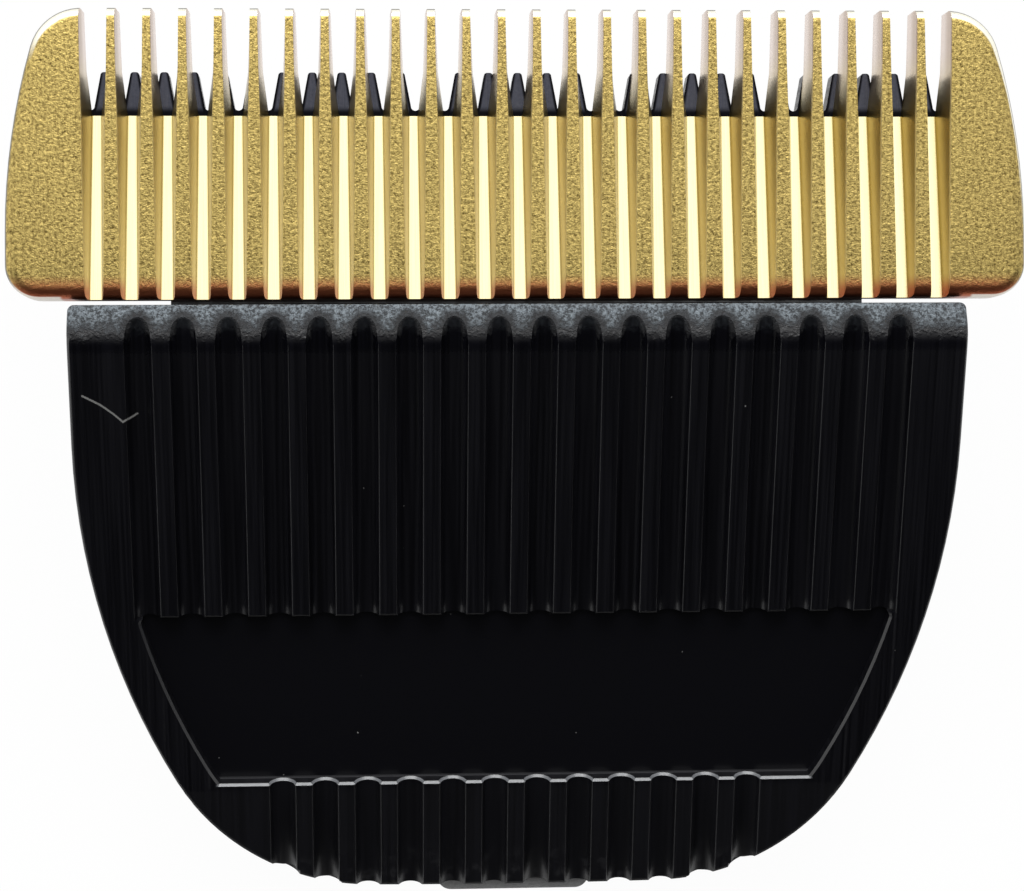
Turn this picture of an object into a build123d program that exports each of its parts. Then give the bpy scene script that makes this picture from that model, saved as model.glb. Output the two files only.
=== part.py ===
from build123d import *
from math import asin, atan2, cos, degrees, radians, sin, sqrt, tan
import os

# Detachable hair clipper blade block, lying on its back with the ribbed face up. Millimetres.
# X runs across the teeth, Y from the mounting hook to the tooth tips, Z from the back rim to the face.

# Whole block
face_height = 12.0

# Comb: fixed blade with ground grooves that break through into slots at the front
comb_width = 46.42
comb_length = 13.15
comb_thickness = 1.75
comb_tip_width = 42.98
comb_side_straight = 3.0
comb_heel_radius = 1.55
comb_shoulder_radius = 2.4
comb_rim_radius = 0.6
tooth_pitch = 1.6
slot_count = 25
tooth_length = 4.7
groove_heel_depth = 0.9
groove_heel_mouth = 0.85
groove_heel_floor = 0.56
groove_root_mouth = 1.1
groove_root_floor = 0.4
slot_flare_length = 2.0
slot_flare_mouth = 1.2
slot_flare_back = 0.92
slot_tip_mouth = 1.28
slot_tip_back = 1.14

# Cutter: toothed plate that slides against the back of the comb
cutter_pitch = 1.345
cutter_teeth = 31
cutter_thickness = 1.0
cutter_setback = 2.7
cutter_tooth_length = 1.75
cutter_tip_width = 0.36
cutter_tip_radius = 0.15
cutter_valley_width = 0.4
cutter_end_margin = 0.5
cutter_relief_depth = 0.12
cutter_rail = 1.0
cutter_stroke = 1.1

# Housing: moulded wedge, drawn on its sloping face, with ribs, a smooth recess and a ribbed lower lip
housing_width = 40.8
housing_length = 27.7
housing_corner_radius = 0.3
housing_edge_radius = 0.25
side_straight = 5.25
hip_inset = 4.25
hip_drop = 16.9
foot_radius = 400.0
face_slope = 18.9
face_crest_rise = 0.5
crest_radius = 2.0
bevel_run = 1.4
bevel_angle = 20.0
side_wall = 1.6
roof_wall = 2.0
rib_pitch = 2.028
rib_groove_width = 1.18
rib_groove_depth = 0.56
rib_round = 0.12
rib_end_round = 0.18
upper_groove_count = 18
lower_groove_count = 12
recess_start = 13.64
recess_length = 8.55
recess_depth = 0.7
recess_border = 1.7
recess_corner_radius = 0.3
recess_chamfer = 0.11
heel_gap = 0.28

# Blade seat: the housing's tongue and ears, which carry the comb
seat_thickness = 2.0
seat_neck_width = 31.8
seat_end_inset = 0.5
seat_ear_radius = 0.8
ear_setback = 0.6
cheek_wall = 1.4
guide_rib_width = 1.2
guide_rib_inset = 1.8
guide_rib_depth = 1.0
guide_rib_length = 18.0

# Comb screws
screw_diameter = 2.0
screw_head_diameter = 3.0
screw_head_height = 1.1
screw_head_round = 0.35
screw_depth = 1.2
screw_tip_gap = 0.1
screw_driver_width = 0.45
screw_driver_length = 1.8
screw_driver_depth = 0.5
screw_edge_distance = 2.1

# Carrier: moulded slider with the clipper's drive slot
wing_width = 23.4
wing_length = 3.6
wing_thickness = 1.8
wing_setback = 0.5
wing_corner_radius = 0.6
peg_diameter = 1.8
peg_spacing = 16.0
peg_height = 0.8
arm_width = 10.0
arm_depth = 3.6
arm_overhang = 5.9
drive_slot_width = 3.0
drive_slot_length = 5.2
drive_slot_depth = 2.6
drive_slot_inset = 3.1

# Pressure springs: a mirrored pair of torsion springs on moulded posts
wire_diameter = 0.6
coil_radius = 1.9
coil_turns = 3
coil_pitch = 0.66
coil_back = 5.4
coil_height = 3.7
spring_room = 1.5
short_leg_angle = 25.0
foot_length = 1.8
foot_bend = 0.8
post_bracket_wall = 1.2
post_bracket_length = 5.2
post_bracket_drop = 1.0

# Mounting hook: sprung tongue staked under the lower lip
hook_width = 7.5
hook_reach = 0.47
hook_length = 9.6
hook_thickness = 1.2
hook_lift = 0.4
hook_barb = 0.9
hook_corner_radius = 0.7
hook_boss_length = 4.4
hook_boss_width = 7.0
hook_peg_diameter = 1.5
hook_peg_spacing = 3.6
hook_stake_diameter = 2.3
hook_stake_height = 0.25

# Clearances
slide_gap = 0.1
bay_gap = 0.6
pin_gap = 0.05
spring_gap = 0.1
clear_gap = 0.35
cut_over = 0.3
blend_lift = 0.008

# Places that several pieces share
overall_length = comb_length + heel_gap + housing_length + hook_reach
tip_y = overall_length / 2
hook_end_y = -overall_length / 2
comb_heel_y = tip_y - comb_length
comb_root_y = tip_y - tooth_length
comb_back_z = face_height - comb_thickness
housing_front_y = comb_heel_y - heel_gap
housing_foot_y = housing_front_y - housing_length
front_wall_y = housing_front_y - side_wall
seat_bottom_z = comb_back_z - seat_thickness
cutter_tip_y = tip_y - cutter_setback
cutter_valley_y = cutter_tip_y - cutter_tooth_length
cutter_bottom_z = comb_back_z - cutter_thickness
wing_front_y = cutter_valley_y - wing_setback
wing_back_y = wing_front_y - wing_length
wing_bottom_z = cutter_bottom_z - wing_thickness
seat_front_y = wing_back_y - clear_gap
cutter_heel_y = seat_front_y + slide_gap
ear_back_y = comb_heel_y + ear_setback
screw_x = comb_width / 2 - screw_edge_distance
screw_y = (ear_back_y + seat_front_y) / 2
peg_y = (wing_front_y + wing_back_y) / 2
guide_rib_y = seat_front_y - guide_rib_inset
arm_top_z = seat_bottom_z - clear_gap
arm_bottom_z = arm_top_z - arm_depth
arm_back_y = housing_front_y - arm_overhang
drive_slot_y = arm_back_y + drive_slot_inset
bay_x = wing_width / 2 + cutter_stroke + bay_gap
coil_y = housing_front_y - coil_back
post_radius = coil_radius - wire_diameter / 2 - spring_gap
coil_inner_x = arm_width / 2 + cutter_stroke + spring_room + foot_length
coil_outer_x = coil_inner_x + coil_pitch * coil_turns + wire_diameter
hook_top_z = hook_lift + hook_thickness
hook_root_y = hook_end_y + hook_length
hook_peg_y = hook_root_y - hook_boss_length / 2

face_length = (housing_length - bevel_run) / cos(radians(face_slope))
crest = Vector(0, housing_front_y - bevel_run, face_height + face_crest_rise)
face_plane = Plane(crest, x_dir=(1, 0, 0), z_dir=(0, -sin(radians(face_slope)), cos(radians(face_slope))))
roof_plane = face_plane.offset(-roof_wall)
rib_radius = (rib_groove_width ** 2 / 4 + rib_groove_depth ** 2) / (2 * rib_groove_depth)
rib_axis = rib_radius - rib_groove_depth


def span(x_low, x_high, y_low, y_high, z_low, z_high):
    """Block between two corners."""
    size = (x_high - x_low, y_high - y_low, z_high - z_low)
    return Pos(x_low, y_low, z_low) * Box(*size, align=Align.MIN)


def both_sides(shape):
    """The shape and its mirror image across the middle plane."""
    return [shape, mirror(shape, about=Plane.YZ)]


def row(count, pitch):
    """X positions of a centred row."""
    return [(index - (count - 1) / 2) * pitch for index in range(count)]


def groove_section(y, mouth, floor, depth, below):
    """Trapezium across one groove at y, carried on past the face and, by below, past its floor."""
    spread = (mouth - floor) / depth
    top = mouth + spread * cut_over
    low = floor - spread * below
    top_z = face_height + cut_over
    low_z = face_height - depth - below
    corners = [(-top / 2, top_z), (-low / 2, low_z), (low / 2, low_z), (top / 2, top_z)]
    return Plane.XZ.offset(-y) * Polygon(*corners, align=None)


def comb_blade():
    """Plate with a rounded rim, cut by tapered grooves that deepen until they open into slots."""
    half_width = comb_width / 2
    side_y = comb_heel_y + comb_side_straight
    tip_corner = (comb_tip_width / 2, tip_y)
    half = Curve() + [
        Polyline((0, comb_heel_y), (half_width, comb_heel_y), (half_width, side_y)),
        TangentArc((half_width, side_y), tip_corner, tangent=(0, 1)),
        Line(tip_corner, (0, tip_y)),
    ]
    outline = make_face(half + mirror(half, about=Plane.YZ))
    corners = outline.vertices().filter_by(lambda corner: abs(corner.X) > comb_tip_width / 3)
    outline = fillet(corners.group_by(Axis.Y)[0], comb_heel_radius)
    corners = outline.vertices().group_by(Axis.Y)[-1]
    corners = corners.filter_by(lambda corner: abs(corner.X) > comb_tip_width / 3)
    outline = fillet(corners, comb_shoulder_radius)
    blank = extrude(Pos(0, 0, comb_back_z) * outline, comb_thickness)
    blank = fillet(blank.faces().sort_by(Axis.Z)[-1].edges(), comb_rim_radius)

    root = (groove_root_mouth, groove_root_floor, comb_thickness)
    flare = (slot_flare_mouth, slot_flare_back, comb_thickness)
    tip = (slot_tip_mouth, slot_tip_back, comb_thickness)
    groove = loft([
        groove_section(comb_heel_y - cut_over, groove_heel_mouth, groove_heel_floor, groove_heel_depth, 0),
        groove_section(comb_root_y, *root, 0),
    ])
    slot = loft([
        groove_section(comb_root_y, *root, cut_over),
        groove_section(comb_root_y + slot_flare_length, *flare, cut_over),
        groove_section(tip_y + cut_over, *tip, cut_over),
    ], ruled=True)
    cuts = [Pos(x, 0, 0) * shape for x in row(slot_count, tooth_pitch) for shape in (groove, slot)]
    bore = Pos(screw_x, screw_y, comb_back_z) * Cylinder(
        screw_diameter / 2 + pin_gap, screw_depth, align=(Align.CENTER, Align.CENTER, Align.MIN))
    return blank - cuts - both_sides(bore)


def cutter_blade():
    """Plate with round-ended valleys between its teeth, a hollow-ground top and two holes for the pegs."""
    half_width = cutter_pitch * (cutter_teeth - 1) / 2 + cutter_end_margin
    plate = span(-half_width, half_width, cutter_heel_y, cutter_tip_y, cutter_bottom_z, comb_back_z)
    mouth = cutter_pitch - cutter_tip_width
    bottom_y = cutter_valley_y + cutter_valley_width / 2
    spread = (mouth - cutter_valley_width) / (cutter_tip_y - bottom_y)
    open_half = mouth / 2 + spread * cut_over / 2
    open_y = cutter_tip_y + cut_over
    side = cutter_valley_width / 2
    corners = [(-side, bottom_y), (side, bottom_y), (open_half, open_y), (-open_half, open_y)]
    wedge = Polygon(*corners, align=None)
    valley = wedge + Pos(0, bottom_y) * Circle(side)
    cut = extrude(Pos(0, 0, cutter_bottom_z) * valley, cutter_thickness)
    plate = plate - [Pos(x, 0, 0) * cut for x in row(cutter_teeth - 1, cutter_pitch)]
    tips = plate.edges().filter_by(Axis.Z).group_by(Axis.Y)[-1]
    plate = fillet(tips, cutter_tip_radius)
    relief = span(-half_width, half_width, cutter_heel_y + cutter_rail, cutter_valley_y - cutter_rail,
                  comb_back_z - cutter_relief_depth, comb_back_z)
    hole = Pos(peg_spacing / 2, peg_y, (cutter_bottom_z + comb_back_z) / 2) * Cylinder(
        peg_diameter / 2 + pin_gap, cutter_thickness)
    return plate - relief - both_sides(hole)


def cutter_carrier():
    """T-shaped slider: a wing with pegs under the cutter, and an arm under the seat with the drive slot."""
    wing = span(-wing_width / 2, wing_width / 2, wing_back_y, wing_front_y, wing_bottom_z, cutter_bottom_z)
    wing = fillet(wing.edges().filter_by(Axis.Z), wing_corner_radius)
    profile = Polygon(
        (arm_back_y, arm_bottom_z), (wing_back_y, arm_bottom_z), (wing_front_y, wing_bottom_z),
        (wing_front_y, arm_top_z), (arm_back_y, arm_top_z), align=None)
    arm = extrude(Plane.YZ * profile, arm_width / 2, both=True)
    arm = fillet(arm.edges().filter_by(Axis.Z).group_by(Axis.Y)[0], wing_corner_radius)
    groove_half = guide_rib_width / 2 + slide_gap
    groove = span(-arm_width, arm_width, guide_rib_y - groove_half, guide_rib_y + groove_half,
                  seat_bottom_z - guide_rib_depth - slide_gap, seat_bottom_z)
    slot = extrude(
        Pos(0, drive_slot_y, arm_bottom_z) * SlotOverall(drive_slot_length, drive_slot_width, rotation=90),
        drive_slot_depth)
    peg = Pos(peg_spacing / 2, peg_y, cutter_bottom_z) * Cylinder(
        peg_diameter / 2, peg_height, align=(Align.CENTER, Align.CENTER, Align.MIN))
    return wing + arm + both_sides(peg) - groove - slot


def housing_outline():
    """Outline on the sloping face, crest at y = 0: parallel sides, then three arcs tangent to each other.

    The corner arc leaves the hip along the side arc and touches the shallow foot arc from inside, so the
    distance between their centres is the difference of their radii, which gives the corner radius.
    """
    half_width = housing_width / 2
    past_bevel = 2 * bevel_run
    side_end = Vector(half_width, -side_straight)
    hip = side_end - Vector(hip_inset, hip_drop)
    side_arc = TangentArc(side_end, hip, tangent=(0, -1))
    inward = (side_arc.arc_center - hip).normalized()
    foot_centre = Vector(0, foot_radius - face_length)
    from_foot = hip - foot_centre
    corner_radius = (foot_radius ** 2 - from_foot.dot(from_foot)) / (
        2 * (foot_radius + from_foot.dot(inward)))
    foot = foot_centre + (from_foot + inward * corner_radius).normalized() * foot_radius
    half = Curve() + [
        Polyline((0, past_bevel), (half_width, past_bevel), side_end),
        side_arc,
        TangentArc(hip, foot, tangent=side_arc % 1),
        TangentArc((0, -face_length), foot, tangent=(1, 0)),
    ]
    return make_face(half + mirror(half, about=Plane.YZ))


def wedge():
    """Side view of the housing, with its bevel and rounded crest, carried across the full width."""
    bevel_z = crest.Z - bevel_run * tan(radians(bevel_angle))
    foot_y = housing_foot_y - cut_over
    foot_z = crest.Z - (crest.Y - foot_y) * tan(radians(face_slope))
    front = [(housing_front_y, 0), (housing_front_y, bevel_z)]
    back = [(foot_y, foot_z), (foot_y, 0)]
    profile = Polygon(*front, (crest.Y, crest.Z), *back, align=None)
    profile = fillet(profile.vertices().sort_by(Axis.Y)[-1], crest_radius)
    return extrude(Plane.YZ * profile, housing_width, both=True)


def below(shape, plane):
    """The part of a shape under a sloping plane."""
    return split(shape, bisect_by=plane, keep=Keep.BOTTOM)


def rib_grooves(count, start, end):
    """Row of round channels with soft mouths along the sloping face, between two distances from its crest.

    The rounding of a mouth ends a hair above the face, so that it crosses the face at a clear angle.
    """
    above = Rectangle(rib_groove_width + 4 * rib_round, 2 * rib_radius, align=(Align.CENTER, Align.MIN))
    section = Pos(0, rib_axis) * Circle(rib_radius) + Pos(0, blend_lift) * above
    mouth = section.vertices().sort_by(lambda corner: abs(corner.X))[:2]
    channel = extrude(Plane.XZ * fillet(mouth, rib_round), end - start)
    return [face_plane * Pos(x, -start, 0) * channel for x in row(count, rib_pitch)]


def groove_mouths(outline):
    """Opened ends of the lower grooves: a cone at the lip's edge, and a rounded trumpet at the foot.

    Both start a hair inside their groove's round, so that they cross it at a clear angle.
    """
    inward = (Align.CENTER, Align.CENTER, Align.MIN)
    throat = rib_radius - blend_lift
    flare = recess_chamfer + blend_lift
    cone = Plane.XZ * Cone(rib_radius + flare, throat, flare + blend_lift, align=inward)
    lip_y = blend_lift - recess_start - recess_length
    bell = throat + rib_end_round
    profile = Curve() + [
        CenterArc((bell, rib_end_round), rib_end_round, 180, 90),
        Polyline((bell, 0), (bell, -cut_over), (0, -cut_over), (0, rib_end_round), (throat, rib_end_round)),
    ]
    trumpet = revolve(make_face(profile), Axis.Y)
    mouths = []
    for x in row(lower_groove_count, rib_pitch):
        strip = outline & Pos(x, 0) * Rectangle(blend_lift, 4 * housing_length)
        mouths += [
            face_plane * Pos(x, lip_y, rib_axis) * cone,
            face_plane * Pos(x, strip.bounding_box().min.Y, rib_axis) * trumpet,
        ]
    return mouths


def recess(outline):
    """Shallow pocket on the sloping face: sides parallel to the outline, straight ends, chamfered mouth."""
    recess_end = recess_start + recess_length
    band = Pos(0, -(recess_start + recess_end) / 2) * Rectangle(housing_width, recess_length)
    panel = offset(outline, -recess_border, kind=Kind.INTERSECTION) & band
    panel = fillet(panel.vertices().group_by(Axis.Y)[-1], recess_corner_radius)
    mouth = offset(panel, recess_chamfer, kind=Kind.INTERSECTION)
    pocket = extrude(panel, -recess_depth)
    flare = loft([Pos(0, 0, -recess_chamfer) * panel, mouth], ruled=True)
    return face_plane * (pocket + flare + extrude(mouth, cut_over))


def housing_shell():
    """Wedge with walls square to its sloping face, a rounded rim, ribs and recess, hollow from behind."""
    outline = housing_outline()
    block = face_plane * extrude(outline, 2 * face_height, both=True) & wedge()
    block = fillet(block.edges().filter_by(Axis.Z).group_by(Axis.Y)[-1], housing_corner_radius)
    steepest = cos(radians(bevel_angle + face_slope))
    tops = block.faces().filter_by(lambda face: face.normal_at().Z > steepest)
    seams = tops.edges().filter_by(Axis.X)
    seams = seams.filter_by(lambda edge: edge.center().Y < housing_front_y - housing_edge_radius)
    block = fillet([edge for edge in tops.edges() if edge not in seams], housing_edge_radius)

    recess_end = recess_start + recess_length
    grooves = rib_grooves(upper_groove_count, -2 * bevel_run, recess_start + recess_chamfer)
    grooves += rib_grooves(lower_groove_count, recess_end - recess_chamfer, face_length + recess_depth)
    cavity = roof_plane * extrude(offset(outline, -side_wall, kind=Kind.INTERSECTION), -2 * face_height)
    cavity = split(cavity, bisect_by=Plane.XZ.offset(-front_wall_y), keep=Keep.TOP)
    return block - recess(outline) - grooves - groove_mouths(outline) - cavity


def blade_seat():
    """Tongue that the comb lies on, with ears for its screws, cheeks down to the rim and a guide rib."""
    ear_x = comb_width / 2 - seat_end_inset
    neck_x = seat_neck_width / 2
    plate = span(-neck_x, neck_x, front_wall_y, seat_front_y, seat_bottom_z, comb_back_z)
    ears = span(-ear_x, ear_x, ear_back_y, seat_front_y, seat_bottom_z, comb_back_z)
    ears = fillet(ears.edges().filter_by(Axis.Z), seat_ear_radius)
    cheek = span(bay_x, bay_x + cheek_wall, front_wall_y, seat_front_y, 0, seat_bottom_z)
    rib = span(-guide_rib_length / 2, guide_rib_length / 2, guide_rib_y - guide_rib_width / 2,
               guide_rib_y + guide_rib_width / 2, seat_bottom_z - guide_rib_depth, seat_bottom_z)
    hole = Pos(screw_x, screw_y, (seat_bottom_z + comb_back_z) / 2) * Cylinder(
        screw_diameter / 2 + pin_gap, seat_thickness)
    return plate + ears + both_sides(cheek) + rib - both_sides(hole)


def spring_post():
    """Bracket hanging from the roof with a round post through the spring's coil."""
    bracket_x = coil_outer_x + spring_gap
    half_length = post_bracket_length / 2
    bracket = span(bracket_x, bracket_x + post_bracket_wall, coil_y - half_length, coil_y + half_length,
                   coil_height - coil_radius - post_bracket_drop, face_height)
    bracket = below(bracket, face_plane.offset(-roof_wall / 2))
    post_end_x = coil_inner_x - wire_diameter
    post = Pos((post_end_x + bracket_x) / 2, coil_y, coil_height) * Rot(0, 90, 0) * Cylinder(
        post_radius, bracket_x - post_end_x)
    return bracket + post


def hook_seat():
    """Boss under the roof, with two staked pegs that hold the mounting hook."""
    half_width = hook_boss_width / 2
    boss_back_y = hook_root_y - hook_boss_length
    boss = span(-half_width, half_width, boss_back_y, hook_root_y, hook_top_z, face_height)
    boss = below(boss, face_plane.offset(-(recess_depth + roof_wall) / 2))
    low = (Align.CENTER, Align.CENTER, Align.MAX)
    peg = Pos(hook_peg_spacing / 2, hook_peg_y, hook_top_z) * Cylinder(
        hook_peg_diameter / 2, hook_thickness, align=low)
    stake = Pos(hook_peg_spacing / 2, hook_peg_y, hook_lift) * Cylinder(
        hook_stake_diameter / 2, hook_stake_height, align=low)
    return boss + both_sides(peg) + both_sides(stake)


def blade_housing():
    """One moulding: shell, blade seat, spring posts and hook seat, with the openings in its walls."""
    bay = span(-bay_x, bay_x, front_wall_y, housing_front_y, 0, seat_bottom_z)
    hook_x = hook_width / 2 + clear_gap
    hook_way = span(-hook_x, hook_x, hook_end_y, hook_root_y + clear_gap, 0, hook_top_z + clear_gap)
    return housing_shell() - bay - hook_way + blade_seat() + both_sides(spring_post()) + hook_seat()


def pressure_spring():
    """Torsion spring: close coil, long leg with a foot under the carrier, short leg up to the roof."""
    centre = Vector(coil_inner_x, coil_y, coil_height)
    foot_z = wing_bottom_z - wire_diameter / 2 - spring_gap
    reach = sqrt((peg_y - coil_y) ** 2 + (foot_z - coil_height) ** 2)
    leg_rise = atan2(foot_z - coil_height, peg_y - coil_y) - asin(coil_radius / reach)
    start_angle = 180 + degrees(leg_rise)
    turn = coil_turns * 360 + 180 - short_leg_angle - start_angle
    coil_frame = Plane(centre, x_dir=(0, 0, -1), z_dir=(1, 0, 0))
    helix = coil_frame * Rot(0, 0, start_angle) * Helix(coil_pitch, coil_pitch * turn / 360, coil_radius)
    wire = Circle(wire_diameter / 2)
    coil = sweep(Plane(helix @ 0, z_dir=helix % 0) * wire, path=helix)

    long_start = helix @ 0
    long_way = helix % 0 * -1
    long_end = long_start + long_way * sqrt(reach ** 2 - coil_radius ** 2)
    long_path = FilletPolyline(long_start, long_end, long_end - Vector(foot_length, 0, 0), radius=foot_bend)
    long_leg = sweep(Plane(long_start, z_dir=long_way) * wire, path=long_path)

    short_start = helix @ 1
    short_way = helix % 1
    room = -roof_plane.to_local_coords(short_start).Z - wire_diameter / 2 - spring_gap
    short_end = short_start + short_way * (room / short_way.dot(roof_plane.z_dir))
    short_leg = sweep(Plane(short_start, z_dir=short_way) * wire, path=Line(short_start, short_end))
    return coil + long_leg + short_leg


def comb_screw():
    """Pan-head screw, head down, with a crossed driver recess."""
    shank_length = seat_thickness + screw_depth - screw_tip_gap
    upward = (Align.CENTER, Align.CENTER, Align.MIN)
    downward = (Align.CENTER, Align.CENTER, Align.MAX)
    shank = Cylinder(screw_diameter / 2, shank_length, align=upward)
    head = Cylinder(screw_head_diameter / 2, screw_head_height, align=downward)
    head = fillet(head.edges().sort_by(Axis.Z)[0], screw_head_round)
    cross = Box(screw_driver_length, screw_driver_width, screw_driver_depth, align=upward)
    cross = Pos(0, 0, -screw_head_height) * (cross + Rot(0, 0, 90) * cross)
    return Pos(screw_x, screw_y, seat_bottom_z) * (shank + head - cross)


def mounting_hook():
    """Flat sprung tongue with a barb turned down at its end and two holes for the housing's pegs."""
    half_width = hook_width / 2
    tongue = span(-half_width, half_width, hook_end_y, hook_root_y, hook_lift, hook_top_z)
    barb = span(-half_width, half_width, hook_end_y, hook_end_y + hook_barb, 0, hook_lift)
    tongue = fillet((tongue + barb).edges().filter_by(Axis.Z).group_by(Axis.Y)[0], hook_corner_radius)
    hole = Pos(hook_peg_spacing / 2, hook_peg_y, (hook_lift + hook_top_z) / 2) * Cylinder(
        hook_peg_diameter / 2 + pin_gap, hook_thickness)
    return tongue - both_sides(hole)


os.makedirs("parts", exist_ok=True)
spring_right, spring_left = both_sides(pressure_spring())
nodes = {
    "blade_housing": blade_housing(),
    "comb_blade": comb_blade(),
    "comb_screws": Compound(both_sides(comb_screw())),
    "cutter_blade": cutter_blade(),
    "cutter_carrier": cutter_carrier(),
    "pressure_spring_left": spring_left,
    "pressure_spring_right": spring_right,
    "mounting_hook": mounting_hook(),
}
for name, shape in nodes.items():
    export_step(shape, f"parts/{name}.step")
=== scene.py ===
"""Looks of a clip-on hair clipper blade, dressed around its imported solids. Metres, +Z up."""
import math

import bpy
from mathutils import Matrix, Vector


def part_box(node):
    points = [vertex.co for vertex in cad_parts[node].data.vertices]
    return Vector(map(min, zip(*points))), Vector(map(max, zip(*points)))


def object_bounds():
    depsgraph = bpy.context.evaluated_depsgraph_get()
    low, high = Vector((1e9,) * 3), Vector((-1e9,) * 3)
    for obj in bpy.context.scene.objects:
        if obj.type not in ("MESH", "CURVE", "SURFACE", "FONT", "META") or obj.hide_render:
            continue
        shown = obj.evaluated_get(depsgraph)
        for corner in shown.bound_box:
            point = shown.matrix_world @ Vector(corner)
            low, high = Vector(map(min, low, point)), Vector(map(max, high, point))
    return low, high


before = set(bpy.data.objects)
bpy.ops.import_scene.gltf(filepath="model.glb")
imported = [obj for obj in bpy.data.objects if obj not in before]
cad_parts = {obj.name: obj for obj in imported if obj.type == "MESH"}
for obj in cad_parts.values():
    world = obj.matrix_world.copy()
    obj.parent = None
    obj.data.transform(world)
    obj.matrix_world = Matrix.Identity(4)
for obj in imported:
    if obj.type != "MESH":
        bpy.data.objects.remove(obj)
cad_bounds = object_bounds()

# Blade housing
# One black moulding: a wedge with a ribbed sloping face, a smooth recess and a ribbed lower lip.
# The face is satin from a polished mould, and the front bevel keeps the mould's rough spark-eroded grain.
mm = 0.001


def add(tree, kind, *inputs, settings=None, **named):
    """Adds one shader node. Each input, in order or by name, is a socket to link or a value to set."""
    made = tree.nodes.new("ShaderNode" + kind)
    for key, value in (settings or {}).items():
        setattr(made, key, value)
    for key, value in [*enumerate(inputs), *named.items()]:
        socket = made.inputs[key.replace("_", " ") if isinstance(key, str) else key]
        if isinstance(value, bpy.types.NodeSocket):
            tree.links.new(value, socket)
        else:
            socket.default_value = value
    return made.outputs


def reckon(tree, operation, *inputs):
    """One arithmetic node."""
    return add(tree, "Math", *inputs, settings={"operation": operation})[0]


def product(tree, *factors):
    """All the given masks or values multiplied together."""
    result = factors[0]
    for factor in factors[1:]:
        result = reckon(tree, "MULTIPLY", result, factor)
    return result


def without(tree, mask):
    """1 where the mask is 0, and 0 where it is 1."""
    return reckon(tree, "SUBTRACT", 1.0, mask)


def ramp(tree, value, low, high):
    """0 at low, 1 at high, smooth between and level beyond; low may be the larger."""
    return add(tree, "MapRange", value, low, high, settings={"interpolation_type": "SMOOTHSTEP"})[0]


def band(tree, value, low, high, soft):
    """1 from low to high, falling to 0 within soft on either side."""
    return product(tree, ramp(tree, value, low - soft, low), ramp(tree, value, high + soft, high))


def between(tree, share, first, second):
    """Value that goes evenly from first to second as share goes from 0 to 1."""
    return add(tree, "MapRange", share, 0.0, 1.0, first, second)[0]


def mix(tree, share, first, second):
    """Colour between two colours."""
    made = tree.nodes.new("ShaderNodeMix")
    made.data_type = "RGBA"
    for key, value in zip((0, 6, 7), (share, first, second)):
        if isinstance(value, bpy.types.NodeSocket):
            tree.links.new(value, made.inputs[key])
        else:
            made.inputs[key].default_value = value
    return made.outputs[2]


def new_group(name, inputs, outputs):
    """Shader node group with named sockets. Returns its tree, its inner inputs and its inner outputs."""
    tree = bpy.data.node_groups.new(name, "ShaderNodeTree")
    for title, kind, value in inputs:
        socket = tree.interface.new_socket(title, in_out="INPUT", socket_type="NodeSocket" + kind)
        socket.default_value = value
    for title, kind in outputs:
        tree.interface.new_socket(title, in_out="OUTPUT", socket_type="NodeSocket" + kind)
    return tree, tree.nodes.new("NodeGroupInput").outputs, tree.nodes.new("NodeGroupOutput").inputs


def use_group(tree, group, **named):
    """Places a group in a material with its own values."""
    made = tree.nodes.new("ShaderNodeGroup")
    made.node_tree = group
    for key, value in named.items():
        socket = made.inputs[key.replace("_", " ")]
        if isinstance(value, bpy.types.NodeSocket):
            tree.links.new(value, socket)
        else:
            socket.default_value = value
    return made.outputs


def grain_group():
    """Even grain: two sizes of noise, added and stretched to 0..1. Size is the width of a grain."""
    inputs = [("Vector", "Vector", (0, 0, 0)), ("Size", "Float", 0.1 * mm)]
    tree, given, result = new_group("grain", inputs, [("Height", "Float")])
    fineness = 2.7
    coarse_share = 0.65
    scale = reckon(tree, "DIVIDE", 1.0, given["Size"])
    coarse = add(tree, "TexNoise", given["Vector"], Scale=scale, Detail=2.0, Roughness=0.6)[0]
    fine = add(tree, "TexNoise", given["Vector"], Scale=product(tree, scale, fineness), Detail=1.0)[0]
    both = reckon(tree, "ADD", product(tree, coarse, coarse_share), product(tree, fine, 1 - coarse_share))
    tree.links.new(add(tree, "MapRange", both, 0.3, 0.7)[0], result["Height"])
    return tree


def streak_group():
    """Fine lines, 0..1: noise squeezed by Squeeze, which is 1 / spacing along each axis."""
    inputs = [("Vector", "Vector", (0, 0, 0)), ("Squeeze", "Vector", (1, 1, 1))]
    tree, given, result = new_group("streaks", inputs, [("Lines", "Float")])
    multiply = {"operation": "MULTIPLY"}
    squeezed = add(tree, "VectorMath", given["Vector"], given["Squeeze"], settings=multiply)[0]
    noise = add(tree, "TexNoise", squeezed, Scale=1.0, Detail=2.0, Roughness=0.5)[0]
    tree.links.new(add(tree, "MapRange", noise, 0.35, 0.65)[0], result["Lines"])
    return tree


def dust_group():
    """Scattered specks: a disc at the middle of each cell of a random net, its radius drawn for the cell.

    Spacing is the width of a cell and Largest the greatest radius; Share of the cells have a speck at all.
    """
    inputs = [("Vector", "Vector", (0, 0, 0)), ("Spacing", "Float", 2 * mm),
              ("Largest", "Float", 0.06 * mm), ("Share", "Float", 0.4)]
    tree, given, result = new_group("dust", inputs, [("Mask", "Float")])
    scale = reckon(tree, "DIVIDE", 1.0, given["Spacing"])
    cell = add(tree, "TexVoronoi", given["Vector"], Scale=scale)
    draw = add(tree, "SeparateXYZ", cell["Color"])
    limit = product(tree, given["Largest"], draw[0], scale)
    inside = ramp(tree, cell["Distance"], limit, product(tree, limit, 0.5))
    kept = reckon(tree, "LESS_THAN", draw[1], given["Share"])
    tree.links.new(product(tree, inside, kept), result["Mask"])
    return tree


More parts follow.
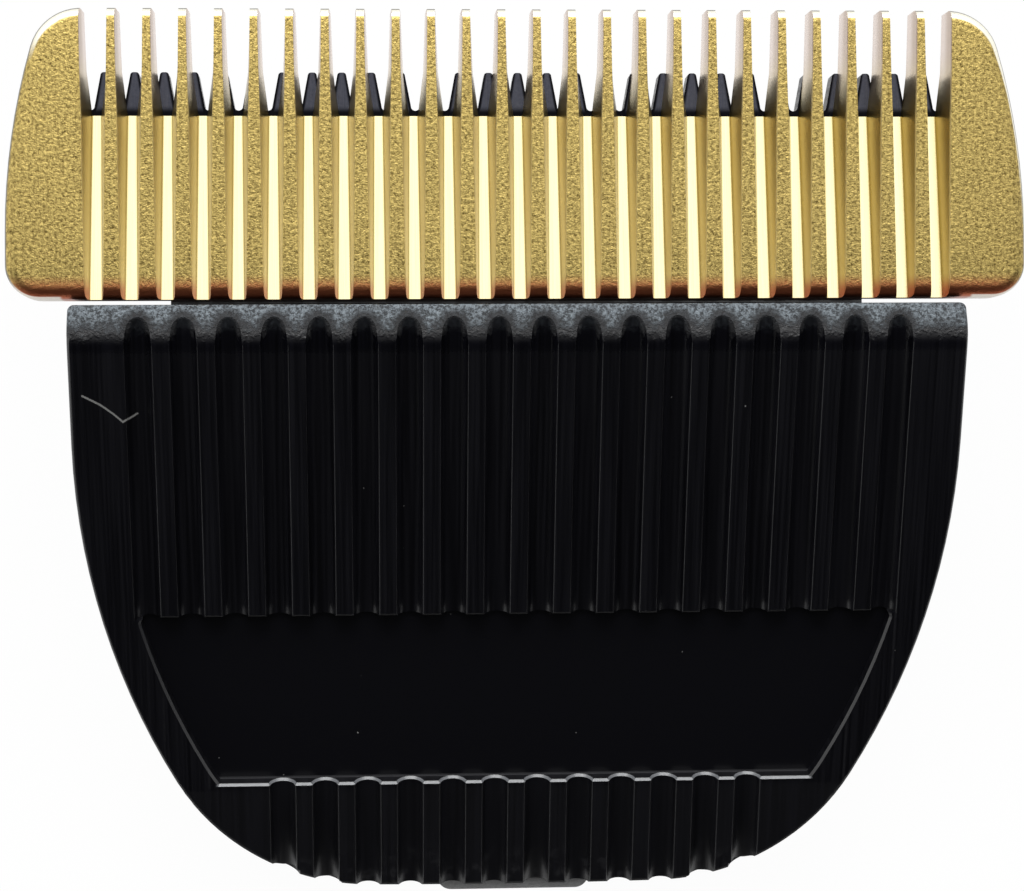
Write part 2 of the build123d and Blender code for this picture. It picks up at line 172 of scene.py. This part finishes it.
def line_group():
    """Thin mark from Start to End, seen from above: 1 within half of Width of the line between them.

    The nearest point lies at share (p - start).(end - start) / |end - start|^2 of the way, kept in 0..1.
    """
    inputs = [("Vector", "Vector", (0, 0, 0)), ("Start", "Vector", (0, 0, 0)),
              ("End", "Vector", (1, 0, 0)), ("Width", "Float", 0.1 * mm)]
    tree, given, result = new_group("line_mark", inputs, [("Mask", "Float")])

    def vector(operation, *inputs):
        return add(tree, "VectorMath", *inputs, settings={"operation": operation})

    flat = vector("MULTIPLY", given["Vector"], (1, 1, 0))[0]
    way = vector("SUBTRACT", given["End"], given["Start"])[0]
    reach = vector("SUBTRACT", flat, given["Start"])[0]
    share = reckon(tree, "DIVIDE", vector("DOT_PRODUCT", reach, way)["Value"],
                   vector("DOT_PRODUCT", way, way)["Value"])
    share = add(tree, "Clamp", share)[0]
    along = vector("MULTIPLY", way, share)[0]
    gap = vector("DISTANCE", reach, along)["Value"]
    half = product(tree, given["Width"], 0.5)
    tree.links.new(ramp(tree, gap, half, product(tree, half, 0.4)), result["Mask"])
    return tree


def new_material(name):
    """Principled material. Returns it, its tree, the shader's inputs and the texture coordinates."""
    material = bpy.data.materials.new(name)
    material.use_nodes = True
    tree = material.node_tree
    shader = tree.nodes["Principled BSDF"].inputs
    return material, tree, shader, add(tree, "TexCoord")


def emboss(tree, shader, height, strength, depth):
    """Lets a pattern of heights stand out of the surface by depth."""
    bump = add(tree, "Bump", Strength=strength, Distance=depth, Height=height)[0]
    tree.links.new(bump, shader["Normal"])


def smoothing_group():
    """Geometry nodes that join a solid's loose triangles and shade smoothly over all but sharp edges."""
    weld_distance = 0.001 * mm
    sharp_angle = math.radians(30)
    tree = bpy.data.node_groups.new("smooth_rounds", "GeometryNodeTree")
    for way in ("INPUT", "OUTPUT"):
        tree.interface.new_socket("Geometry", in_out=way, socket_type="NodeSocketGeometry")
    join = tree.nodes.new("GeometryNodeMergeByDistance")
    join.inputs["Distance"].default_value = weld_distance
    faces = tree.nodes.new("GeometryNodeSetShadeSmooth")
    edges = tree.nodes.new("GeometryNodeSetShadeSmooth")
    edges.domain = "EDGE"
    edges.inputs["Shade Smooth"].default_value = False
    bend = tree.nodes.new("GeometryNodeInputMeshEdgeAngle")
    sharp = tree.nodes.new("FunctionNodeCompare")
    sharp.inputs["B"].default_value = sharp_angle
    tree.links.new(bend.outputs["Unsigned Angle"], sharp.inputs["A"])
    tree.links.new(sharp.outputs["Result"], edges.inputs["Selection"])
    tree.links.new(tree.nodes.new("NodeGroupInput").outputs[0], join.inputs["Geometry"])
    tree.links.new(join.outputs["Geometry"], faces.inputs["Geometry"])
    tree.links.new(faces.outputs["Geometry"], edges.inputs["Geometry"])
    tree.links.new(edges.outputs["Geometry"], tree.nodes.new("NodeGroupOutput").inputs[0])
    return tree


def dress(node, material):
    """Gives a CAD node its finish and smooth shading on its round faces."""
    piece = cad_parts[node]
    piece.data.materials.clear()
    piece.data.materials.append(material)
    piece.modifiers.new("smooth_rounds", "NODES").node_group = smoothing


grain = grain_group()
streaks = streak_group()
dust = dust_group()
line_mark = line_group()
smoothing = smoothing_group()


def housing_finish():
    """Black plastic: satin ribs with faint moulding lines, a smooth recess, rough grain on the bevel, and
    painted light: a grey sheen on the bevel's grain, shade round the arches, highlights on the groove
    edges and on the lip.

    The face falls from its crest at the mould's slope. A point's depth is its distance below that plane,
    its run is how far down the slope it lies, and ahead is how far it lies past the crest, to the teeth.
    """
    material, tree, shader, place = new_material("housing_black")
    spot = place["Object"]
    at = add(tree, "SeparateXYZ", spot)
    off_middle = reckon(tree, "ABSOLUTE", at[0])
    facing = add(tree, "SeparateXYZ", place["Normal"])
    upward = ramp(tree, facing[2], 0.6, 0.8)
    slope = math.radians(18.9)
    crest_setback = 1.68 * mm
    crest_height = 12.5 * mm
    crest = Vector((0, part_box("comb_blade")[0].y - crest_setback, crest_height))
    square = Vector((0, -math.sin(slope), math.cos(slope)))
    downhill = Vector((0, -math.cos(slope), -math.sin(slope)))

    def from_crest(direction):
        """How far a point lies from the crest along one direction."""
        far = add(tree, "VectorMath", spot, direction, settings={"operation": "DOT_PRODUCT"})["Value"]
        return reckon(tree, "SUBTRACT", far, crest.dot(direction))

    depth = from_crest(-square)
    run = from_crest(downhill)
    ahead = reckon(tree, "SUBTRACT", at[1], crest.y)
    ribbed = ramp(tree, depth, 0.66 * mm, 0.60 * mm)

    # The recess ends at the lip: a pale line painted on its edge as a highlight, and a fainter pale line
    # painted at the foot of its wall.
    recess_end = 22.19 * mm
    recess_half = 14.2 * mm
    inside = ramp(tree, off_middle, recess_half + 0.15 * mm, recess_half)
    lip = band(tree, run, recess_end + 0.02 * mm, recess_end + 0.11 * mm, 0.012 * mm)
    lip = product(tree, lip, inside)
    foot = band(tree, run, recess_end - 0.07 * mm, recess_end + 0.002 * mm, 0.01 * mm)
    foot = product(tree, foot, band(tree, depth, 0.62 * mm, 0.72 * mm, 0.03 * mm), inside)
    handled = ramp(tree, run, recess_end, recess_end + 0.4 * mm)

    # Across is measured from the middle of the nearest groove, and reach from the arch at its upper end.
    rib_pitch = 2.028 * mm
    groove_half = 0.59 * mm
    arch_middle = 0.40 * mm
    upper_half = 9 * rib_pitch
    lower_half = 6 * rib_pitch
    plain = reckon(tree, "GREATER_THAN", off_middle, between(tree, handled, upper_half, lower_half))
    across = reckon(tree, "SUBTRACT", at[0], rib_pitch / 2)
    across = reckon(tree, "WRAP", across, rib_pitch / 2, -rib_pitch / 2)
    beyond = reckon(tree, "MAXIMUM", reckon(tree, "SUBTRACT", ahead, arch_middle), 0.0)
    reach = add(tree, "CombineXYZ", across, beyond)[0]
    reach = add(tree, "VectorMath", reach, settings={"operation": "LENGTH"})["Value"]
    reach = reckon(tree, "ADD", reach, plain)
    arch_shade = ramp(tree, reach, groove_half + 0.35 * mm, groove_half - 0.05 * mm)
    channel = ramp(tree, reach, groove_half - 0.16 * mm, groove_half - 0.32 * mm)

    # The bevel's grain thins out unevenly over the crest. Its grey is partly a painted sheen of the light
    # the bevel faces, and fades over the crest as painted falloff of that light; round the arches it is
    # darkened as painted shade. The seat has none.
    pits = use_group(tree, grain, Vector=spot, Size=0.17 * mm)["Height"]
    ragged = use_group(tree, grain, Vector=spot, Size=0.5 * mm)["Height"]
    ragged_ahead = reckon(tree, "ADD", ahead, between(tree, ragged, -0.3 * mm, 0.3 * mm))
    seat = ramp(tree, ahead, 1.45 * mm, 1.55 * mm)
    fore = without(tree, seat)
    bevel = product(tree, ramp(tree, ragged_ahead, 0.0, 1.0 * mm), ramp(tree, facing[2], 0.15, 0.35))
    bevel = product(tree, bevel, between(tree, arch_shade, 1.0, 0.12), fore)
    gritty = product(tree, ramp(tree, ragged_ahead, -0.30 * mm, 0.45 * mm), fore, without(tree, channel))
    glossy = band(tree, ahead, -0.45 * mm, 0.0, 0.5 * mm)
    # A pale line painted along one edge of each groove, uneven along its length, is a painted highlight.
    groove_edge_highlight = band(tree, across, groove_half - 0.03 * mm, groove_half + 0.04 * mm, 0.03 * mm)
    groove_edge_highlight = product(tree, groove_edge_highlight, between(tree, ragged, 0.1, 1.0), ribbed, upward, without(tree, plain))

    fine = 1 / (0.14 * mm)
    long = 1 / (9 * mm)
    lines = use_group(tree, streaks, Vector=spot, Squeeze=(fine, long, long))["Lines"]
    lines = product(tree, lines, ribbed)
    satin = mix(tree, lines, (0.0014, 0.0014, 0.0024, 1), (0.0036, 0.0036, 0.0054, 1))
    satin = mix(tree, ribbed, (0.0030, 0.0030, 0.0045, 1), satin)
    satin = mix(tree, groove_edge_highlight, satin, (0.0110, 0.0110, 0.0130, 1))
    blotch = use_group(tree, grain, Vector=spot, Size=0.9 * mm)["Height"]
    smudge = product(tree, ramp(tree, blotch, 0.55, 0.95), ramp(tree, run, 25.0 * mm, 27.5 * mm))
    satin = mix(tree, smudge, satin, (0.014, 0.014, 0.016, 1))
    # Dark pits and grey tops of the grain; the grey is partly painted sheen.
    eroded_grain_and_sheen = mix(tree, ramp(tree, pits, 0.20, 0.85), (0.020, 0.024, 0.028, 1), (0.190, 0.222, 0.248, 1))
    colour = mix(tree, bevel, satin, eroded_grain_and_sheen)
    colour = mix(tree, foot, colour, (0.028, 0.028, 0.031, 1))
    # The pale lip line is a painted highlight.
    colour = mix(tree, lip, colour, (0.13, 0.135, 0.145, 1))

    # Dust lies on what faces up, and one bent fibre near the left edge.
    specks = use_group(tree, dust, Vector=spot, Spacing=2.2 * mm, Largest=0.10 * mm, Share=0.40)
    motes = use_group(tree, dust, Vector=spot, Spacing=1.0 * mm, Largest=0.05 * mm, Share=0.35)
    marks = reckon(tree, "MAXIMUM", specks["Mask"], product(tree, motes["Mask"], 0.6))
    marks = product(tree, marks, upward)
    fibre = [(-19.78, 3.29), (-19.00, 2.90), (-18.44, 2.50), (-18.00, 2.12), (-17.40, 2.52)]
    fibre = [(x * mm, y * mm, 0) for x, y in fibre]
    for start, end in zip(fibre, fibre[1:]):
        mark = use_group(tree, line_mark, Vector=spot, Start=start, End=end, Width=0.12 * mm)["Mask"]
        marks = reckon(tree, "MAXIMUM", marks, mark)
    mark_strength = 0.5
    colour = mix(tree, product(tree, marks, mark_strength), colour, (0.34, 0.34, 0.33, 1))
    tree.links.new(colour, shader["Base Color"])

    backward = ramp(tree, facing[1], -0.45, -0.65)
    rough = between(tree, glossy, between(tree, lines, 0.28, 0.34), 0.17)
    rough = between(tree, gritty, rough, 0.80)
    rough = reckon(tree, "MAXIMUM", rough, product(tree, handled, 0.37))
    rough = between(tree, backward, rough, 0.75)
    rough = between(tree, seat, rough, 0.12)
    tree.links.new(between(tree, marks, rough, 0.8), shader["Roughness"])
    shader["IOR"].default_value = 1.58
    relief = product(tree, pits, between(tree, gritty, 0.02, 1.0))
    emboss(tree, shader, relief, strength=1.0, depth=0.05 * mm)
    return material


dress("blade_housing", housing_finish())

# Mounting hook
# Grey sprung tongue, moulded in glass-filled plastic with a fine matt texture.
# Two pegs of the housing pass through it and are staked over.


def hook_finish():
    """Grey plastic with a fine matt grain and paler patches, all painted paler than the plastic's own grey
    as painted light against the shade it lies in.
    """
    material, tree, shader, place = new_material("hook_grey")
    height = use_group(tree, grain, Vector=place["Object"], Size=0.12 * mm)["Height"]
    blotch = use_group(tree, grain, Vector=place["Object"], Size=1.4 * mm)["Height"]
    # These greys are painted paler than the plastic's own, as painted light against the shade under the
    # housing's edge.
    colour = mix(tree, height, (0.41, 0.41, 0.414, 1), (0.60, 0.60, 0.605, 1))
    colour = mix(tree, product(tree, blotch, 0.35), colour, (0.68, 0.68, 0.68, 1))
    tree.links.new(colour, shader["Base Color"])
    tree.links.new(between(tree, blotch, 0.45, 0.6), shader["Roughness"])
    emboss(tree, shader, height, strength=0.6, depth=0.01 * mm)
    return material


dress("mounting_hook", hook_finish())

# Pressure springs
# A mirrored pair of torsion springs, wound from bright drawn wire on the housing's posts.
# Their long legs press the carrier and the cutter up against the comb.


def spring_finish():
    """Bright drawn wire: fine lines, and a slight brown tint in patches."""
    material, tree, shader, place = new_material("spring_steel")
    height = use_group(tree, grain, Vector=place["Object"], Size=0.25 * mm)["Height"]
    fine = 1 / (0.06 * mm)
    long = 1 / (0.5 * mm)
    lines = use_group(tree, streaks, Vector=place["Object"], Squeeze=(long, fine, fine))
    tree.links.new(mix(tree, height, (0.46, 0.44, 0.41, 1), (0.66, 0.66, 0.66, 1)), shader["Base Color"])
    tree.links.new(between(tree, lines["Lines"], 0.22, 0.38), shader["Roughness"])
    shader["Metallic"].default_value = 1.0
    return material


wire = spring_finish()
for side in ("left", "right"):
    dress("pressure_spring_" + side, wire)

# Cutter carrier
# Slider moulded in natural off-white acetal, with two pegs for the cutter and the slot for the drive pin.
# It runs on the housing's guide rib, and the springs lift it.


def carrier_finish():
    """Off-white acetal: waxy and faintly mottled."""
    material, tree, shader, place = new_material("carrier_plastic")
    blotch = use_group(tree, grain, Vector=place["Object"], Size=2.2 * mm)["Height"]
    height = use_group(tree, grain, Vector=place["Object"], Size=0.12 * mm)["Height"]
    tree.links.new(mix(tree, blotch, (0.66, 0.65, 0.61, 1), (0.74, 0.73, 0.70, 1)), shader["Base Color"])
    tree.links.new(between(tree, height, 0.36, 0.48), shader["Roughness"])
    emboss(tree, shader, height, strength=0.4, depth=0.006 * mm)
    return material


dress("cutter_carrier", carrier_finish())

# Cutter blade
# Hardened steel plate with thirty-one ground teeth, coated black.
# It sits on the carrier's pegs and slides from side to side against the back of the comb.


def cutter_finish():
    """Black coating on ground steel: charcoal sheen, fine grinding lines along the teeth, darker borders
    that are partly the coating's dark edges and partly painted shade, and a painted shadow at the roots.

    The triangle wave of x gives the distance from the middle of the nearest tooth, and the tooth's half
    width grows evenly from its tip to its root, so their difference is the distance from its border.
    """
    material, tree, shader, place = new_material("cutter_black")
    pitch = 1.345 * mm
    tooth = 1.75 * mm
    tip_half = 0.18 * mm
    root_half = 0.47 * mm
    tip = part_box("cutter_blade")[1].y
    at = add(tree, "SeparateXYZ", place["Object"])
    aside = reckon(tree, "PINGPONG", at[0], pitch / 2)
    half = add(tree, "MapRange", at[1], tip - tooth, tip, root_half, tip_half)[0]
    # Dark borders are partly the coating's dark edges and partly painted shade; below the roots of the
    # teeth a painted shadow.
    border = ramp(tree, reckon(tree, "SUBTRACT", half, aside), 0.15 * mm, 0.04 * mm)
    root = ramp(tree, at[1], tip - tooth + 0.25 * mm, tip - tooth - 0.10 * mm)
    dark = reckon(tree, "MAXIMUM", border, root)
    fine = 1 / (0.07 * mm)
    long = 1 / (2.5 * mm)
    lines = use_group(tree, streaks, Vector=place["Object"], Squeeze=(fine, long, long))["Lines"]
    speckle = use_group(tree, grain, Vector=place["Object"], Size=0.12 * mm)["Height"]
    tone = product(tree, reckon(tree, "ADD", lines, speckle), 0.5)
    sheen = mix(tree, tone, (0.050, 0.052, 0.068, 1), (0.090, 0.094, 0.118, 1))
    tree.links.new(mix(tree, dark, sheen, (0.006, 0.006, 0.008, 1)), shader["Base Color"])
    tree.links.new(between(tree, lines, 0.30, 0.45), shader["Roughness"])
    shader["Metallic"].default_value = 1.0
    return material


dress("cutter_blade", cutter_finish())

# Comb blade
# Hardened steel, ground with tapering grooves that open into slots.
# The face is sand-blasted and the whole is coated gold.
# It lies on the housing's seat, and two screws hold its end plates from behind.


def comb_finish():
    """Gold coating: speckled blasted face, groove walls and polished groove floors, with painted shade and
    highlights in the grooves.

    The rounded rim is painted pale as a reflection, widest at the tips and further down on the right end
    plate, with a thin duller line at its outer edge, also a painted reflection, dark at the heel. The heel
    is painted brown-dark as a reflection of the dark housing.
    """
    material, tree, shader, place = new_material("comb_gold")
    spot = place["Object"]
    low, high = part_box("comb_blade")
    at = add(tree, "SeparateXYZ", spot)
    facing = add(tree, "SeparateXYZ", place["Normal"])
    depth = reckon(tree, "SUBTRACT", high.z, at[2])
    face = product(tree, ramp(tree, depth, 0.66 * mm, 0.58 * mm), ramp(tree, facing[2], 0.40, 0.60))
    floor = product(tree, ramp(tree, depth, 0.66 * mm, 0.74 * mm), ramp(tree, facing[2], 0.8, 0.95))
    front = ramp(tree, at[1], high.y - 5.0 * mm, high.y - 1.5 * mm)
    heel = ramp(tree, at[1], low.y + 1.15 * mm, low.y + 0.20 * mm)

    # The rim's painted reflection begins where the face tilts past a limit, which eases towards the tips.
    plate_start = 20.6 * mm
    plate = ramp(tree, reckon(tree, "ABSOLUTE", at[0]), plate_start, plate_start + 0.2 * mm)
    rounded = reckon(tree, "MAXIMUM", plate, ramp(tree, facing[1], 0.20, 0.35))
    limit = between(tree, ramp(tree, at[1], high.y - 4.5 * mm, high.y - 0.3 * mm), 0.70, 0.96)
    tilt = reckon(tree, "SUBTRACT", facing[2], limit)
    right_side = ramp(tree, at[0], -1.0 * mm, 1.0 * mm)
    rim_start = between(tree, right_side, high.y - 2.6 * mm, high.y - 10.5 * mm)
    rim_full = between(tree, right_side, high.y - 1.2 * mm, high.y - 5.0 * mm)
    rim = product(tree, ramp(tree, tilt, 0.03, -0.05), rounded, ramp(tree, at[1], rim_start, rim_full))
    outer = product(tree, ramp(tree, facing[2], 0.60, 0.48), rounded)

    # A groove's floor narrows and deepens evenly from the heel to the root of the teeth.
    pitch = 1.6 * mm
    root = high.y - 4.7 * mm
    heel_half = 0.28 * mm
    root_half = 0.20 * mm
    heel_depth = 0.9 * mm
    thickness = high.z - low.z
    half = add(tree, "MapRange", at[1], low.y, root, heel_half, root_half)[0]
    inward = reckon(tree, "SUBTRACT", half, reckon(tree, "PINGPONG", at[0], pitch / 2))
    floor_depth = add(tree, "MapRange", at[1], low.y, root, heel_depth, thickness)[0]
    above = reckon(tree, "SUBTRACT", floor_depth, depth)

    speckle = use_group(tree, grain, Vector=spot, Size=0.16 * mm)["Height"]
    fine = 1 / (0.08 * mm)
    long = 1 / (4 * mm)
    lines = use_group(tree, streaks, Vector=spot, Squeeze=(fine, long, long))["Lines"]
    line_share = 0.10
    tone = product(tree, speckle, 1 - line_share)
    tone = reckon(tree, "ADD", tone, product(tree, lines, line_share))
    blasted = mix(tree, tone, (0.070, 0.042, 0.008, 1), (0.80, 0.61, 0.208, 1))
    # Groove walls are painted darker towards the floor as shade, and pale at the top as a highlight along
    # the mouth.
    upper = ramp(tree, depth, 0.24 * mm, 0.08 * mm)
    wall = ramp(tree, above, 0.05 * mm, 0.40 * mm)
    wall = mix(tree, wall, (0.46, 0.37, 0.12, 1), (0.66, 0.56, 0.30, 1))
    wall = mix(tree, upper, wall, (1.0, 0.88, 0.50, 1))
    slot = ramp(tree, depth, 0.5 * mm, 1.4 * mm)
    slot = mix(tree, slot, (0.52, 0.41, 0.33, 1), (0.74, 0.64, 0.58, 1))
    wall = mix(tree, front, wall, slot)
    polished = mix(tree, lines, (0.92, 0.80, 0.46, 1), (0.96, 0.86, 0.53, 1))
    # Floors are painted darker along their edges as shade where they meet the walls.
    polished = mix(tree, ramp(tree, inward, 0.0, 0.06 * mm), (0.55, 0.43, 0.16, 1), polished)
    colour = mix(tree, face, mix(tree, floor, wall, polished), blasted)
    # The heel is painted brown-dark as a reflection of the dark housing behind it; the floors are left
    # out.
    heel_dark_reflection = product(tree, heel, without(tree, floor))
    colour = mix(tree, heel_dark_reflection, colour, (0.46, 0.135, 0.062, 1))
    # The rim's pale colour is a painted reflection.
    colour = mix(tree, rim, colour, (0.96, 0.93, 0.80, 1))
    # The outer edge line is a painted reflection: cream on the sides and tips, dark at the heel.
    edge = mix(tree, heel, (0.17, 0.16, 0.12, 1), (0.80, 0.74, 0.66, 1))
    colour = mix(tree, outer, colour, edge)
    tree.links.new(colour, shader["Base Color"])

    grit = reckon(tree, "SUBTRACT", face, rim)
    plain = between(tree, upper, 0.30, 0.55)
    plain = between(tree, floor, plain, between(tree, lines, 0.16, 0.24))
    tree.links.new(between(tree, grit, plain, 0.46), shader["Roughness"])
    shader["Metallic"].default_value = 1.0
    relief = product(tree, speckle, grit)
    emboss(tree, shader, relief, strength=0.5, depth=0.03 * mm)
    return material


dress("comb_blade", comb_finish())

# Comb screws
# Two small zinc-plated pan-head screws.
# They are driven from behind, through the seat's ears into the comb.


def screw_finish():
    """Plain zinc plating: soft sheen with cloudy patches."""
    material, tree, shader, place = new_material("screw_steel")
    blotch = use_group(tree, grain, Vector=place["Object"], Size=0.5 * mm)["Height"]
    tree.links.new(mix(tree, blotch, (0.47, 0.47, 0.48, 1), (0.62, 0.62, 0.63, 1)), shader["Base Color"])
    tree.links.new(between(tree, blotch, 0.25, 0.42), shader["Roughness"])
    shader["Metallic"].default_value = 1.0
    return material


dress("comb_screws", screw_finish())

# Stage: pale floor, soft light and the camera
# White table under the part, a soft box overhead, a window beyond the teeth, a dark room behind the hook.
# The lens looks almost straight down, from a little left of the middle, close enough to show the slope.


def floor_finish():
    """Matt white that looks white to the camera and in reflections, and still takes the shadow."""
    material = bpy.data.materials.new("floor_white")
    material.use_nodes = True
    tree = material.node_tree
    tree.nodes.clear()
    white_share = 0.97
    mirrored_share = 0.4
    path = add(tree, "LightPath")
    mirrored = reckon(tree, "MAXIMUM", path["Is Glossy Ray"], path["Is Transmission Ray"])
    seen = reckon(tree, "MAXIMUM", path["Is Camera Ray"], product(tree, mirrored, mirrored_share))
    matt = add(tree, "BsdfDiffuse", (0.9, 0.9, 0.9, 1))[0]
    white = add(tree, "Emission", (1, 1, 1, 1), 1.0)[0]
    blend = add(tree, "MixShader", product(tree, seen, white_share), matt, white)[0]
    add(tree, "OutputMaterial", blend)
    return material


floor_half = 2.0
floor_gap = 0.02 * mm
floor_z = cad_bounds[0][2] - floor_gap
floor_mesh = bpy.data.meshes.new("floor")
floor_mesh.from_pydata(
    [(-floor_half, -floor_half, floor_z), (floor_half, -floor_half, floor_z),
     (floor_half, floor_half, floor_z), (-floor_half, floor_half, floor_z)], [], [(0, 1, 2, 3)])
floor_mesh.materials.append(floor_finish())
floor = bpy.data.objects.new("floor", floor_mesh)
bpy.context.scene.collection.objects.link(floor)


def soft_box(name, place, width, height, radiance):
    """Flat lamp that looks at the middle of the object. Its power is radiance times pi times its area."""
    lamp = bpy.data.lights.new(name, "AREA")
    lamp.shape = "RECTANGLE"
    lamp.size = width
    lamp.size_y = height
    lamp.energy = radiance * math.pi * width * height
    holder = bpy.data.objects.new(name, lamp)
    holder.location = place
    holder.rotation_euler = (-Vector(place)).to_track_quat("-Z", "Y").to_euler()
    bpy.context.scene.collection.objects.link(holder)


soft_box("overhead", place=(0.03, 0.15, 0.42), width=0.40, height=0.22, radiance=1.0)
soft_box("far_window", place=(-0.04, 0.40, 0.35), width=0.62, height=0.24, radiance=6.5)


def room_light():
    """World light: even, brighter at both sides of the teeth, and dark behind the hook."""
    dark = 0.012
    light = 0.45
    side_glow = 0.8
    left_glow = 1.3
    world = bpy.data.worlds.new("room")
    world.use_nodes = True
    tree = world.node_tree
    toward = add(tree, "SeparateXYZ", add(tree, "TexCoord")["Generated"])
    even = ramp(tree, toward[1], -0.30, 0.05)
    sides = ramp(tree, reckon(tree, "ABSOLUTE", toward[0]), 0.50, 0.75)
    sides = product(tree, sides, ramp(tree, toward[1], -0.10, 0.05), side_glow)
    low_left = product(tree, ramp(tree, toward[0], -0.84, -0.95), left_glow)
    glow = reckon(tree, "MAXIMUM", sides, low_left)
    shade = reckon(tree, "ADD", between(tree, even, dark, light), glow)
    tree.links.new(shade, tree.nodes["Background"].inputs["Strength"])
    tree.nodes["Background"].inputs["Color"].default_value = (1, 1, 1, 1)
    bpy.context.scene.world = world


room_light()

lens_place = Vector((-6.66, -0.25, 122.0)) * mm
yaw = math.radians(3.22)
pitch = math.radians(0.62)
roll = math.radians(0.402)
ahead = Vector((math.sin(yaw) * math.cos(pitch), math.sin(pitch), -math.cos(yaw) * math.cos(pitch)))
level = Vector((math.cos(yaw), 0, math.sin(yaw)))
over = level.cross(ahead)
right = level * math.cos(roll) - over * math.sin(roll)
up = level * math.sin(roll) + over * math.cos(roll)
lens = bpy.data.cameras.new("camera")
lens.sensor_width = 36.0
lens.lens = 85.7
lens.clip_start = 0.005
camera = bpy.data.objects.new("camera", lens)
turn = Matrix((right, up, -ahead)).transposed().to_4x4()
camera.matrix_world = Matrix.Translation(lens_place) @ turn
bpy.context.scene.collection.objects.link(camera)
bpy.context.scene.camera = camera
bpy.context.scene.view_settings.view_transform = "Standard"
